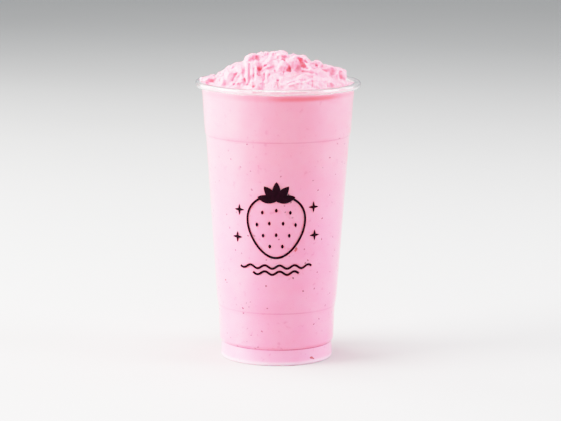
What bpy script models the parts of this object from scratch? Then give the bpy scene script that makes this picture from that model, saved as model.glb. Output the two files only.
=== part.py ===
"""A strawberry milkshake in a clear plastic cup, heaped above the rim.

Sizes are in millimetres and angles in degrees, and every mesh is made in metres.
+Z is up, and the origin is the middle of the foot, on the table.
"""

import math
import random

import bmesh
import bpy
from mathutils import Matrix, Vector

MM = 0.001
SIDES = 48

# Cup: radius and height of the sheet's middle line
WALL = 0.6
RIM_RADIUS = 53.5
RIM_HEIGHT = 181.0
CURL_WIDTH = 4.6
CURL_HEIGHT = 3.8
CURL_SQUARENESS = 2.8
CURL_START = 180.0
CURL_END = -60.0
CURL_STEPS = 8
FOOT_RADIUS = 34.7
FOOT_WIDTH = 1.8
FOOT_CORNER = 1.4
FOOT_STEPS = 3
FOOT_SLOPE = 3.0
PANEL_RADIUS = 27.0
PANEL_HEIGHT = 3.4
LEDGE_LOW = (35.6, 10.4)
LEDGE_HIGH = (36.95, 12.4)
LOWER_STEP_FOOT = (37.65, 32.5)
LOWER_STEP_TOP = (38.85, 39.5)
UPPER_STEP_FOOT = (46.1, 145.4)
UPPER_STEP_TOP = (46.95, 148.5)
NECK = (48.75, 174.8)
CUP_SHARP_ANGLE = 35.0

# Milkshake: the drink fills the cup, and the heap's core is a low dome with a crown on it
GAP = 0.3
BRIM = 178.0
SUNK = 6.0
DOME_RADIUS = 45.5
DOME_HEIGHT = 13.5
DOME_POWER = 0.8
CROWN_RADIUS = 20.0
CROWN_HEIGHT = 4.6
CROWN_POWER = 4
CORE_RINGS = 12
SHAKE_SHARP_ANGLE = 50.0

# The clumps that give the heap its outline: middle x and y, height of the top above the rim,
# and half sizes along x, y and z
CRESTS = (
    (-44.6, -1.0, 2.9, 6.4, 8.0, 2.3),
    (-39.4, 1.5, 4.4, 5.0, 6.5, 4.0),
    (-30.2, 0.5, 9.8, 4.6, 7.0, 4.6),
    (-34.6, -1.0, 6.2, 4.0, 6.0, 4.0),
    (-24.4, -3.0, 12.6, 4.8, 6.0, 5.0),
    (-18.0, -2.0, 17.8, 4.3, 5.2, 8.0),
    (-10.6, 2.0, 18.0, 5.6, 6.0, 5.0),
    (-3.6, 0.5, 18.7, 5.2, 5.8, 4.6),
    (2.0, -3.0, 19.9, 4.6, 5.4, 2.2),
    (9.2, 2.0, 17.4, 3.2, 4.6, 5.0),
    (15.6, -2.0, 17.0, 4.4, 5.6, 6.8),
    (24.6, 1.0, 13.4, 3.9, 5.2, 4.6),
    (32.0, 0.0, 11.0, 5.2, 6.4, 4.6),
    (39.6, -1.0, 8.6, 5.0, 8.0, 6.6),
    (29.0, -21.0, 5.0, 9.0, 8.5, 5.4),
    (12.0, -27.0, 4.4, 8.0, 6.5, 4.6),
)

# Folds that run down the heap: x of the middle, distance down from the middle of the heap,
# half width, half length, turn from straight down
FOLDS = (
    (-24.4, 12.0, 2.3, 9.0, 3.0),
    (-19.2, 14.0, 2.3, 10.5, 0.0),
    (-14.2, 14.5, 2.1, 9.5, -3.0),
    (-30.5, 19.0, 2.6, 8.0, 8.0),
    (8.2, 13.5, 3.2, 10.0, -38.0),
    (17.5, 15.0, 2.8, 8.0, 24.0),
    (-6.0, 16.5, 2.6, 8.0, -14.0),
    (0.8, 19.0, 3.0, 8.0, 10.0),
)
FOLD_THICK = 3.4
FOLD_LIFT = 1.5

SEED = 11
LOOSE_CLUMPS = 200
LOOSE_WIDTH = (2.2, 5.0)
LOOSE_LENGTH = (1.0, 1.9)
LOOSE_THICK = (0.75, 1.0)
LOOSE_SHOWS = (0.2, 0.9)
LOOSE_TURN = 70.0
REACH = 47.6
REACH_LEAN = 3.0
REACH_WIDTH = 0.9

# The fused heap is meshed anew at this size, and this share of its triangles is kept
HEAP_GRAIN = 1.0
HEAP_SHARE = 0.19

# The heap clears the rim over this much of the curl, and is cut off this far outside it
OVER_CURL_END = 30.0
OVER_CURL_STEPS = 5
BEYOND_RIM = 6.0

# Points closer than this are one
MERGE = 0.001


def start_clean():
    for old in list(bpy.data.objects):
        bpy.data.objects.remove(old)


def finish_material(name, colour, roughness, alpha=1.0):
    """A Principled material of one colour, for the solids alone."""
    material = bpy.data.materials.new(name)
    material.use_nodes = True
    shader = material.node_tree.nodes["Principled BSDF"]
    shader.inputs["Base Color"].default_value = (*colour, 1.0)
    shader.inputs["Roughness"].default_value = roughness
    shader.inputs["Metallic"].default_value = 0.0
    shader.inputs["Alpha"].default_value = alpha
    return material


def arc(centre, radii, start, end, steps, squareness=2.0):
    """Points round an ellipse in the radius and height plane, squarer where squareness is above 2."""
    points = []
    for i in range(steps + 1):
        angle = math.radians(start + (end - start) * i / steps)
        away = [
            math.copysign(abs(share) ** (2.0 / squareness), share)
            for share in (math.cos(angle), math.sin(angle))
        ]
        points.append((centre[0] + radii[0] * away[0], centre[1] + radii[1] * away[1]))
    return points


def curl(outwards, start, end, steps):
    """The curl of the rim, seen in section and moved outwards from the sheet's middle."""
    centre = (RIM_RADIUS - CURL_WIDTH / 2, RIM_HEIGHT - CURL_HEIGHT / 2)
    radii = (CURL_WIDTH / 2 - WALL / 2 + outwards, CURL_HEIGHT / 2 - WALL / 2 + outwards)
    return arc(centre, radii, start, end, steps, CURL_SQUARENESS)


def wall_line():
    """The middle of the cup's sheet, from the axis of the raised floor up to the neck."""
    foot_height = WALL / 2
    corner = (FOOT_RADIUS, foot_height + FOOT_CORNER)
    return [
        (0.0, PANEL_HEIGHT),
        (PANEL_RADIUS, PANEL_HEIGHT),
        (FOOT_RADIUS - FOOT_WIDTH - FOOT_SLOPE / 2, foot_height + FOOT_SLOPE / 4),
        (FOOT_RADIUS - FOOT_WIDTH, foot_height),
        *arc(corner, (FOOT_CORNER, FOOT_CORNER), -90.0, 0.0, FOOT_STEPS),
        LEDGE_LOW,
        LEDGE_HIGH,
        LOWER_STEP_FOOT,
        LOWER_STEP_TOP,
        UPPER_STEP_FOOT,
        UPPER_STEP_TOP,
        NECK,
    ]


def moved_sideways(line, distance):
    """The line moved to its left by this distance, with mitred corners."""
    points = [Vector(p) for p in line]
    ways = [(b - a).normalized() for a, b in zip(points, points[1:])]
    lefts = [Vector((-w.y, w.x)) for w in ways]
    moved = []
    for i, point in enumerate(points):
        before = lefts[max(i - 1, 0)]
        after = lefts[min(i, len(lefts) - 1)]
        middle = (before + after).normalized()
        moved.append(point + middle * distance / middle.dot(after))
    return [(max(p.x, 0.0), p.y) for p in moved]


def new_object(name, work, material=None, collection=None):
    """Turns a bmesh in millimetres into an object in metres."""
    bmesh.ops.recalc_face_normals(work, faces=work.faces)
    bmesh.ops.scale(work, vec=(MM, MM, MM), verts=work.verts)
    mesh = bpy.data.meshes.new(name)
    work.to_mesh(mesh)
    work.free()
    if material:
        mesh.materials.append(material)
    made = bpy.data.objects.new(name, mesh)
    (collection or bpy.context.scene.collection).objects.link(made)
    return made


def turned(profile):
    """A closed bmesh of the profile, turned once round +Z."""
    work = bmesh.new()
    rows = [work.verts.new((r, 0.0, z)) for r, z in profile]
    edges = [work.edges.new(pair) for pair in zip(rows, rows[1:])]
    if profile[0][0] > 0.0:
        edges.append(work.edges.new((rows[-1], rows[0])))
    bmesh.ops.spin(
        work,
        geom=rows + edges,
        axis=(0.0, 0.0, 1.0),
        cent=(0.0, 0.0, 0.0),
        angle=math.tau,
        steps=SIDES,
        use_merge=True,
    )
    bmesh.ops.remove_doubles(work, verts=work.verts, dist=MERGE)
    return work


def shade(thing, sharp_angle):
    thing.data.shade_smooth()
    thing.data.set_sharp_from_angle(angle=math.radians(sharp_angle))


def make_cup(material):
    """One sheet of even thickness: raised floor, foot, stepped wall and rolled rim."""
    half = WALL / 2
    inner = moved_sideways(wall_line(), half) + curl(half, CURL_START, CURL_END, CURL_STEPS)
    outer = moved_sideways(wall_line(), -half) + curl(-half, CURL_START, CURL_END, CURL_STEPS)
    cup = new_object("cup", turned(inner + outer[::-1]), material)
    shade(cup, CUP_SHARP_ANGLE)
    return cup


def dome(x, y):
    """The height of the heap's core: a dome with a blunt crown in its middle."""
    away = math.hypot(x, y)
    share = min(1.0, away / DOME_RADIUS)
    crown = max(0.0, 1.0 - (away / CROWN_RADIUS) ** CROWN_POWER)
    return BRIM + DOME_HEIGHT * (1.0 - share * share) ** DOME_POWER + CROWN_HEIGHT * crown


def slope(x, y, heading):
    """The direction along the core's surface at this heading, over a step of 1 mm."""
    step = Vector((math.cos(heading), math.sin(heading))) / 2
    rise = dome(x + step.x, y + step.y) - dome(x - step.x, y - step.y)
    return Vector((2 * step.x, 2 * step.y, rise)).normalized()


def seat(x, y, heading):
    """The core's point at x and y, with its directions across the heading, along it and outwards."""
    along = slope(x, y, heading)
    out = slope(x, y, heading - math.pi / 2).cross(along).normalized()
    return Vector((x, y, dome(x, y))), Matrix((along.cross(out), along, out)).transposed()


def clump(middle, axes, radii, collection):
    """A rounded lump of few sides, with its middle, directions and half sizes."""
    work = bmesh.new()
    place = Matrix.Translation(middle) @ axes.to_4x4() @ Matrix.Diagonal((*radii, 1.0))
    bmesh.ops.create_icosphere(work, subdivisions=2, radius=1.0, matrix=place)
    return new_object("clump", work, collection=collection)


def add_crests(collection):
    for x, y, top, wide, deep, tall in CRESTS:
        middle = Vector((x, y, RIM_HEIGHT + top - tall))
        clump(middle, Matrix.Identity(3), (wide, deep, tall), collection)


def add_folds(collection):
    for x, away, wide, long, turn in FOLDS:
        point, axes = seat(x, -away, math.radians(turn - 90.0))
        clump(point + axes.col[2] * FOLD_LIFT, axes, (wide, long, FOLD_THICK), collection)


def add_loose_clumps(collection):
    """Seeded draws over the whole core, no further out than the heap reaches on that side."""
    draw = random.Random(SEED)
    for _ in range(LOOSE_CLUMPS):
        bearing = draw.uniform(0.0, math.tau)
        wide = draw.uniform(*LOOSE_WIDTH)
        long = wide * draw.uniform(*LOOSE_LENGTH)
        limit = REACH - REACH_LEAN * math.cos(bearing) - REACH_WIDTH * wide
        away = limit * math.sqrt(draw.random())
        heading = bearing + math.radians(draw.uniform(-LOOSE_TURN, LOOSE_TURN))
        point, axes = seat(away * math.cos(bearing), away * math.sin(bearing), heading)
        thick = wide * draw.uniform(*LOOSE_THICK)
        middle = point - axes.col[2] * thick * (1.0 - draw.uniform(*LOOSE_SHOWS))
        clump(middle, axes, (wide, long, thick), collection)


def make_keep_out():
    """What the heap may not enter: the curled rim with a gap round it, and all below it outside."""
    reach = WALL / 2 + GAP
    neck = moved_sideways(wall_line(), reach)[-2:]
    over_curl = curl(reach, CURL_START, OVER_CURL_END, OVER_CURL_STEPS)
    far = RIM_RADIUS + BEYOND_RIM
    outside = [(far, over_curl[-1][1]), (far, neck[0][1])]
    return new_object("keep_out", turned([*neck, *over_curl, *outside]))


def boolean(thing, operation, other):
    """Adds a Boolean with an object or a whole collection."""
    step = thing.modifiers.new(operation.lower(), "BOOLEAN")
    step.operation = operation
    step.solver = "MANIFOLD"
    if isinstance(other, bpy.types.Collection):
        step.operand_type = "COLLECTION"
        step.collection = other
    else:
        step.object = other


def apply_modifiers(thing):
    graph = bpy.context.evaluated_depsgraph_get()
    mesh = bpy.data.meshes.new_from_object(thing.evaluated_get(graph))
    thing.modifiers.clear()
    thing.data = mesh


def bodies(work):
    """The vertices of each body of the mesh that hangs together."""
    left = set(work.verts)
    found = []
    while left:
        body = set()
        reached = [left.pop()]
        while reached:
            vert = reached.pop()
            body.add(vert)
            for edge in vert.link_edges:
                other = edge.other_vert(vert)
                if other in left:
                    left.remove(other)
                    reached.append(other)
        found.append(body)
    return found


def keep_largest_body(mesh):
    """Fills the hollows that fusing sealed and drops loose scraps."""
    work = bmesh.new()
    work.from_mesh(mesh)
    found = sorted(bodies(work), key=len)
    spare = [vert for body in found[:-1] for vert in body]
    bmesh.ops.delete(work, geom=spare, context="VERTS")
    bmesh.ops.triangulate(work, faces=work.faces)
    work.to_mesh(mesh)
    work.free()
    print("bodies joined:", len(found), "triangles:", len(mesh.polygons))


def make_heap():
    """The core and all its clumps fused, then meshed anew with fewer triangles."""
    rings = [DOME_RADIUS * (1.0 - i / CORE_RINGS) for i in range(CORE_RINGS + 1)]
    under = [(0.0, BRIM - SUNK), (DOME_RADIUS, BRIM - SUNK)]
    heap = new_object("heap", turned([*under, *((r, dome(r, 0.0)) for r in rings)]))
    collection = bpy.data.collections.new("clumps")
    bpy.context.scene.collection.children.link(collection)
    add_crests(collection)
    add_folds(collection)
    add_loose_clumps(collection)
    boolean(heap, "UNION", collection)
    remesh = heap.modifiers.new("even", "REMESH")
    remesh.mode = "VOXEL"
    remesh.voxel_size = HEAP_GRAIN * MM
    fewer = heap.modifiers.new("fewer", "DECIMATE")
    fewer.ratio = HEAP_SHARE
    apply_modifiers(heap)
    for spent in list(collection.objects):
        bpy.data.objects.remove(spent)
    bpy.data.collections.remove(collection)
    keep_largest_body(heap.data)
    return heap


def make_milkshake(material):
    """The drink against the cup's inner wall, fused with the heap and cut free of the rim."""
    wall = moved_sideways(wall_line(), WALL / 2 + GAP)
    inside_curl = curl(WALL / 2 + GAP, CURL_START, CURL_START, 1)[0]
    surface = [(inside_curl[0], BRIM), (0.0, BRIM)]
    milkshake = new_object("milkshake", turned([*wall, *surface]), material)
    heap = make_heap()
    keep_out = make_keep_out()
    boolean(milkshake, "UNION", heap)
    boolean(milkshake, "DIFFERENCE", keep_out)
    apply_modifiers(milkshake)
    for spent in (heap, keep_out):
        bpy.data.objects.remove(spent)
    keep_largest_body(milkshake.data)
    shade(milkshake, SHAKE_SHARP_ANGLE)
    return milkshake


def main():
    start_clean()
    clear_pet = finish_material("clear_pet", (0.92, 0.94, 0.95), 0.08, alpha=0.3)
    strawberry = finish_material("strawberry_milkshake", (0.93, 0.46, 0.56), 0.45)
    make_cup(clear_pet)
    make_milkshake(strawberry)


main()
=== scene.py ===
# %% [markdown]
# # A strawberry milkshake in a clear plastic cup
#
# A large takeaway cup, filled to the brim and heaped with a crumbly, half frozen milkshake.
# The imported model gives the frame: where the cup and the drink are, and how big. This script
# makes what the eye sees round that frame: a fine cup of clear PET, the milkshake with its
# ragged heap, the seeds that show at the wall, and a small print on the front.
#
# Sizes are named in millimetres and turned to metres with MM where a mesh is made.

# %% Load the frame
import math
import random

import bmesh
import bpy
import numpy as np
from mathutils import Matrix, Vector


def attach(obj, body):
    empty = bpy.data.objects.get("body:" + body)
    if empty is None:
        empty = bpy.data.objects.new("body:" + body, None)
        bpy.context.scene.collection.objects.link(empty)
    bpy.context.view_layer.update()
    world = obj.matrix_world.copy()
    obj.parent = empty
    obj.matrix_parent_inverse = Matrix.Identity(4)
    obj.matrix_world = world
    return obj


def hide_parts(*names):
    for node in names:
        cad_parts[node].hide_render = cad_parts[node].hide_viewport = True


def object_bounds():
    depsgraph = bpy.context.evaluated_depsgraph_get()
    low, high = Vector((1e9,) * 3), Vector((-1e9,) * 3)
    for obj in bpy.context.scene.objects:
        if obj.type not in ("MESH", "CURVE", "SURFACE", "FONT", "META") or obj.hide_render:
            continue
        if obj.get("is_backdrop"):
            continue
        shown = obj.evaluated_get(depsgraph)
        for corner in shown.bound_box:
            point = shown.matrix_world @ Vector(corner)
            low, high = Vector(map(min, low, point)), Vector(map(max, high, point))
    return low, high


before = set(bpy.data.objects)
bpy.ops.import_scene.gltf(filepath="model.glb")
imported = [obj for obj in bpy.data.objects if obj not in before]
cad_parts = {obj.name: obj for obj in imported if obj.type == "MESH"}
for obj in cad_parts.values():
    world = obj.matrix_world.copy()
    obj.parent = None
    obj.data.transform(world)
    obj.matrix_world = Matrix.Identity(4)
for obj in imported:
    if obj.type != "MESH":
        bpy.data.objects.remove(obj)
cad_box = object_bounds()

MM = 0.001
scene = bpy.context.scene
print("nodes in the frame:", sorted(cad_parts))
print("box of the frame in mm:", [[round(v / MM, 1) for v in corner] for corner in cad_box])

# %% [markdown]
# ## The camera
#
# The photograph was taken from a little above the rim with a long lens, so that the cup's
# sides keep nearly their true slope. A focal length in pixels turns into a lens in millimetres
# by the ratio of the sensor's width to the picture's. Turning a matrix about one axis after
# another is easier to read than three angles at once: first the heading, then the tilt, then
# the roll.

# %% Place the camera
PICTURE_WIDTH = 561
FOCAL_PIXELS = 2600.0
SENSOR = 36.0
CAMERA_PLACE = Vector((0.0, -1.669, 0.381))
LOOKS_DOWN = 9.70
HEADING = -0.070
ROLL = 0.378
FARTHEST = 100.0

camera_data = bpy.data.cameras.new("camera")
camera_data.sensor_width = SENSOR
camera_data.lens = SENSOR * FOCAL_PIXELS / PICTURE_WIDTH
camera_data.clip_end = FARTHEST
camera = bpy.data.objects.new("camera", camera_data)
scene.collection.objects.link(camera)
camera.matrix_world = (
    Matrix.Translation(CAMERA_PLACE)
    @ Matrix.Rotation(math.radians(HEADING), 4, "Z")
    @ Matrix.Rotation(math.radians(90.0 - LOOKS_DOWN), 4, "X")
    @ Matrix.Rotation(math.radians(ROLL), 4, "Z")
)
scene.camera = camera
print("lens of", round(camera_data.lens, 1), "mm")

# %% [markdown]
# ## Two helpers for node trees
#
# Shader trees and geometry trees are built alike: add a node, set its properties, then fill
# each input with a number, a colour or a link from an earlier node. One helper does all three.
# Colours are easiest to pick as sRGB hex codes, but shaders add up light, so they need
# linear values: a second helper turns one into the other.


# %% Helpers for nodes and colours
def output_of(value):
    """A node stands for its first output that is in use."""
    if isinstance(value, bpy.types.Node):
        return next(socket for socket in value.outputs if socket.enabled)
    return value


def add(tree, kind, inputs=None, **settings):
    """Adds a node with its settings, and fills or links its inputs by name or number."""
    node = tree.nodes.new(kind)
    for name, value in settings.items():
        setattr(node, name, value)
    for key, value in (inputs or {}).items():
        if isinstance(key, int):
            socket = node.inputs[key]
        else:
            socket = next(s for s in node.inputs if s.name == key and s.enabled)
        value = output_of(value)
        if isinstance(value, bpy.types.NodeSocket):
            tree.links.new(value, socket)
        else:
            socket.default_value = value
    return node


def linear(code):
    """An sRGB colour such as #F3AAC0 as the linear colour that a shader takes."""
    colour = []
    for start in (1, 3, 5):
        share = int(code[start : start + 2], 16) / 255
        colour.append(share / 12.92 if share <= 0.04045 else ((share + 0.055) / 1.055) ** 2.4)
    return (*colour, 1.0)


print("milk pink in linear light:", [round(c, 3) for c in linear("#F3AAC0")])

# %% [markdown]
# ## Two helpers for geometry trees
#
# A Geometry Nodes tree is a small recipe with named inputs. A modifier on an object runs it,
# but the modifier knows an input only by its socket's identifier, so the helper looks each
# name up. What comes out is kept as a plain mesh and the modifier goes, so the finished piece
# holds nothing but its own faces.


# %% Helpers for geometry trees
SOCKETS = {
    int: "NodeSocketInt",
    float: "NodeSocketFloat",
    bpy.types.Material: "NodeSocketMaterial",
    bpy.types.Object: "NodeSocketObject",
}


def recipe(name, **inputs):
    """A new tree with a geometry input, these named inputs with a value or a type, and an output."""
    tree = bpy.data.node_groups.new(name, "GeometryNodeTree")
    tree.interface.new_socket("Geometry", in_out="INPUT", socket_type="NodeSocketGeometry")
    for label, value in inputs.items():
        empty = isinstance(value, type)
        kind = SOCKETS[value if empty else type(value)]
        socket = tree.interface.new_socket(label, in_out="INPUT", socket_type=kind)
        if not empty:
            socket.default_value = value
    tree.interface.new_socket("Geometry", in_out="OUTPUT", socket_type="NodeSocketGeometry")
    return tree, add(tree, "NodeGroupInput").outputs


def use(thing, tree, **values):
    """Puts the tree on an object as a modifier and sets its inputs by identifier."""
    step = thing.modifiers.new(tree.name, "NODES")
    step.node_group = tree
    for item in tree.interface.items_tree:
        if item.in_out == "INPUT" and item.name in values:
            step[item.identifier] = values[item.name]


def finish(tree, geometry, material):
    """Ends a tree: copies become real faces, and they get their material."""
    real = add(tree, "GeometryNodeRealizeInstances", {0: geometry})
    dressed = add(tree, "GeometryNodeSetMaterial", {"Geometry": real, "Material": material})
    add(tree, "NodeGroupOutput", {"Geometry": dressed})


def reshape(tree, geometry, offset):
    """Ends a tree that only moves the points of what it is given."""
    moved = add(tree, "GeometryNodeSetPosition", {"Geometry": geometry, "Offset": offset})
    add(tree, "NodeGroupOutput", {"Geometry": moved})


def along_normal(tree, distance):
    """An offset of this length straight out of the surface."""
    normal = add(tree, "GeometryNodeInputNormal")
    return add(tree, "ShaderNodeVectorMath", {0: normal, "Scale": distance}, operation="SCALE")


def settle(thing):
    """Replaces an object's mesh by what its modifiers make of it, and clears them."""
    bpy.context.view_layer.update()
    graph = bpy.context.evaluated_depsgraph_get()
    mesh = bpy.data.meshes.new_from_object(thing.evaluated_get(graph))
    thing.modifiers.clear()
    spent = thing.data
    thing.data = mesh
    bpy.data.meshes.remove(spent)
    mesh.name = thing.name


def face_outwards(thing):
    work = bmesh.new()
    work.from_mesh(thing.data)
    bmesh.ops.recalc_face_normals(work, faces=work.faces)
    work.to_mesh(thing.data)
    work.free()


def new_object(name, points, edges=()):
    """An object of points and edges, given in millimetres, for a tree to start from."""
    mesh = bpy.data.meshes.new(name)
    mesh.from_pydata([[v * MM for v in point] for point in points], edges, [])
    thing = bpy.data.objects.new(name, mesh)
    scene.collection.objects.link(thing)
    return thing


def set_values(thing, name, values):
    """Gives each point of a mesh its own number or vector, as an attribute."""
    values = np.array(values, dtype=np.float32)
    kind, key = ("FLOAT", "value") if values.ndim == 1 else ("FLOAT_VECTOR", "vector")
    layer = thing.data.attributes.new(name, kind, "POINT")
    layer.data.foreach_set(key, values.ravel())


def remove(thing):
    spent = thing.data
    bpy.data.objects.remove(thing)
    bpy.data.meshes.remove(spent)


# %% [markdown]
# ## The shape of the cup
#
# The cup is formed from one warm sheet of plastic, pulled into a mould, so its wall has one
# thickness everywhere and every feature of it is a bend: a raised floor, a foot to stand on,
# a small ledge, two shallow steps for stacking, and a rim rolled outwards. So one line is
# enough: the middle of the sheet, seen in section. Its corners are rounded here, as a warm
# sheet never folds sharply, and moving it half a thickness each way gives both faces.

# %% The line of the sheet
WALL = 0.6
RIM_RADIUS = 53.5
RIM_HEIGHT = 181.0
CURL_WIDTH = 4.6
CURL_HEIGHT = 3.8
CURL_SQUARENESS = 2.8
CURL_START = 180.0
CURL_END = -60.0
FOOT_RADIUS = 34.7
FOOT_WIDTH = 1.8
FOOT_CORNER = 1.4
FOOT_SLOPE = 3.0
PANEL_RADIUS = 27.0
PANEL_HEIGHT = 3.4
LEDGE_LOW = (35.6, 10.4)
LEDGE_HIGH = (36.95, 12.4)
LOWER_STEP_FOOT = (37.65, 32.5)
LOWER_STEP_TOP = (38.85, 39.5)
UPPER_STEP_FOOT = (46.1, 145.4)
UPPER_STEP_TOP = (46.95, 148.5)
NECK = (48.75, 174.8)

CORNER_STEPS = 10
BEND_REACH = 0.5
BEND_STEPS = 5


def arc(centre, radii, start, end, steps, squareness=2.0):
    """Points round an ellipse in the radius and height plane, squarer where squareness is above 2."""
    points = []
    for i in range(steps + 1):
        angle = math.radians(start + (end - start) * i / steps)
        away = [
            math.copysign(abs(share) ** (2.0 / squareness), share)
            for share in (math.cos(angle), math.sin(angle))
        ]
        points.append((centre[0] + radii[0] * away[0], centre[1] + radii[1] * away[1]))
    return points


def rounded(line, reach, steps):
    """The line with each corner swapped for a short curve that starts and ends this far from it."""
    points = [Vector(p) for p in line]
    soft = [points[0]]
    for before, corner, after in zip(points, points[1:], points[2:]):
        ends = []
        for other in (before, after):
            way = other - corner
            ends.append(corner + way.normalized() * min(reach, way.length * 0.45))
        for i in range(steps + 1):
            t = i / steps
            soft.append(ends[0].lerp(corner, t).lerp(corner.lerp(ends[1], t), t))
    return [*soft, points[-1]]


def moved_sideways(line, distance):
    """The line moved to its left, which is the inside of the cup, with mitred corners."""
    points = [Vector(p) for p in line]
    ways = [(b - a).normalized() for a, b in zip(points, points[1:])]
    lefts = [Vector((-w.y, w.x)) for w in ways]
    moved = []
    for i, point in enumerate(points):
        before = lefts[max(i - 1, 0)]
        after = lefts[min(i, len(lefts) - 1)]
        middle = (before + after).normalized()
        moved.append(point + middle * distance / middle.dot(after))
    return [(max(p.x, 0.0), p.y) for p in moved]


def curl(outwards, start, end, steps):
    """The rolled rim in section, moved outwards from the middle of the sheet."""
    centre = (RIM_RADIUS - CURL_WIDTH / 2, RIM_HEIGHT - CURL_HEIGHT / 2)
    radii = (CURL_WIDTH / 2 - WALL / 2 + outwards, CURL_HEIGHT / 2 - WALL / 2 + outwards)
    return arc(centre, radii, start, end, steps, CURL_SQUARENESS)


def wall_line():
    """The middle of the sheet, from the axis of the raised floor up to the neck."""
    foot_height = WALL / 2
    corner = (FOOT_RADIUS, foot_height + FOOT_CORNER)
    floor = [
        (0.0, PANEL_HEIGHT),
        (PANEL_RADIUS, PANEL_HEIGHT),
        (FOOT_RADIUS - FOOT_WIDTH - FOOT_SLOPE / 2, foot_height + FOOT_SLOPE / 4),
        (FOOT_RADIUS - FOOT_WIDTH, foot_height),
    ]
    foot = arc(corner, (FOOT_CORNER, FOOT_CORNER), -90.0, 0.0, CORNER_STEPS)
    steps = [LEDGE_LOW, LEDGE_HIGH, LOWER_STEP_FOOT, LOWER_STEP_TOP, UPPER_STEP_FOOT, UPPER_STEP_TOP]
    return rounded([*floor, *foot, *steps, NECK], BEND_REACH, BEND_STEPS)


print("points in the sheet's line:", len(wall_line()))

# %% [markdown]
# ## Turning a line into a round shape
#
# A potter's wheel, or Blender's Screw modifier, turns a profile round an axis. In Geometry
# Nodes the same is a grid bent round: each row of the grid reads one point of the profile, and
# each column turns that point a little further. Merging by distance closes the seam where the
# last column meets the first, and draws the points on the axis together into a pole.

# %% The tree that turns a profile
FINE_SIDES = 160
MERGE = 0.001

lathe, given = recipe("turn_profile", Sides=FINE_SIDES, Material=bpy.types.Material)
rows = add(lathe, "GeometryNodeAttributeDomainSize", {"Geometry": given["Geometry"]}, component="MESH")
columns = add(lathe, "FunctionNodeIntegerMath", {0: given["Sides"], 1: 1}, operation="ADD")
sheet = add(lathe, "GeometryNodeMeshGrid", {"Vertices X": rows.outputs["Point Count"], "Vertices Y": columns})
index = add(lathe, "GeometryNodeInputIndex")
row = add(lathe, "FunctionNodeIntegerMath", {0: index, 1: columns}, operation="DIVIDE_FLOOR")
column = add(lathe, "FunctionNodeIntegerMath", {0: index, 1: columns}, operation="MODULO")
reading = {"Geometry": given["Geometry"], "Value": add(lathe, "GeometryNodeInputPosition"), "Index": row}
point = add(lathe, "GeometryNodeSampleIndex", reading, data_type="FLOAT_VECTOR")
share = add(lathe, "ShaderNodeMath", {0: column, 1: given["Sides"]}, operation="DIVIDE")
angle = add(lathe, "ShaderNodeMath", {0: share, 1: math.tau}, operation="MULTIPLY")
bent = add(lathe, "ShaderNodeVectorRotate", {"Vector": point, "Angle": angle}, rotation_type="Z_AXIS")
round_sheet = add(lathe, "GeometryNodeSetPosition", {"Geometry": sheet, "Position": bent})
joined = add(lathe, "GeometryNodeMergeByDistance", {"Geometry": round_sheet, "Distance": MERGE * MM})
finish(lathe, joined, given["Material"])


def turned(name, profile, material=None, closed=True):
    """The profile turned once round +Z: a closed body where the profile is a loop or ends on the axis."""
    points = [(r, 0.0, z) for r, z in profile]
    if closed and profile[0][0] > 0.0:
        points.append(points[0])
    thing = new_object(name, points, [(i, i + 1) for i in range(len(points) - 1)])
    use(thing, lathe, Material=material)
    settle(thing)
    face_outwards(thing)
    thing.data.shade_smooth()
    return thing


# %% [markdown]
# ## The material of the cup
#
# PET, the clear plastic of bottles, thermoformed from a sheet. It is smooth but not ground
# like glass: pulling the sheet leaves very faint waves that bend the highlights. Light that
# goes to a lamp would be stopped by glass in a path tracer, as it can't be bent towards it,
# and the drink would lie in its cup's shadow. So lamp rays and soft light pass it straight.

# %% Cup: clear PET, thermoformed
PET_TINT = "#FBFCFC"
PET_ROUGHNESS = 0.1
PET_IOR = 1.57
PET_CLARITY = 0.97
WAVE_SIZE = 14.0
WAVE_DEPTH = 0.012


def pet_material():
    material = bpy.data.materials.new("thermoformed_pet")
    material.use_nodes = True
    tree = material.node_tree
    tree.nodes.clear()
    place = add(tree, "ShaderNodeTexCoord").outputs["Object"]
    waves = add(tree, "ShaderNodeTexNoise", {"Vector": place, "Scale": 1 / (WAVE_SIZE * MM), "Detail": 1.0})
    bump = add(tree, "ShaderNodeBump", {"Height": waves, "Strength": 1.0, "Distance": WAVE_DEPTH * MM})
    look = {
        "Base Color": linear(PET_TINT),
        "Roughness": PET_ROUGHNESS,
        "IOR": PET_IOR,
        "Transmission Weight": PET_CLARITY,
        "Normal": bump,
    }
    plastic = add(tree, "ShaderNodeBsdfPrincipled", look)
    path = add(tree, "ShaderNodeLightPath").outputs
    rays = {0: path["Is Shadow Ray"], 1: path["Is Diffuse Ray"]}
    soft_ray = add(tree, "ShaderNodeMath", rays, operation="MAXIMUM")
    clear = add(tree, "ShaderNodeBsdfTransparent")
    mixed = add(tree, "ShaderNodeMixShader", {0: soft_ray, 1: plastic, 2: clear})
    add(tree, "ShaderNodeOutputMaterial", {"Surface": mixed})
    return material


pet = pet_material()
print("made", pet.name)

# %% [markdown]
# ## The cup
#
# The inner face of the sheet, the curl of the rim and the outer face make one loop, and the
# loop turned round is the whole cup: a closed wall of clear plastic that light can enter and
# leave, as glass has to be for its refraction to be right.

# %% Make the cup
CURL_STEPS = 26

half = WALL / 2
inner_face = moved_sideways(wall_line(), half) + curl(half, CURL_START, CURL_END, CURL_STEPS)
outer_face = moved_sideways(wall_line(), -half) + curl(-half, CURL_START, CURL_END, CURL_STEPS)
cup = turned("clear_cup", inner_face + outer_face[::-1], material=pet)
print("cup:", len(cup.data.polygons), "faces")

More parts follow.
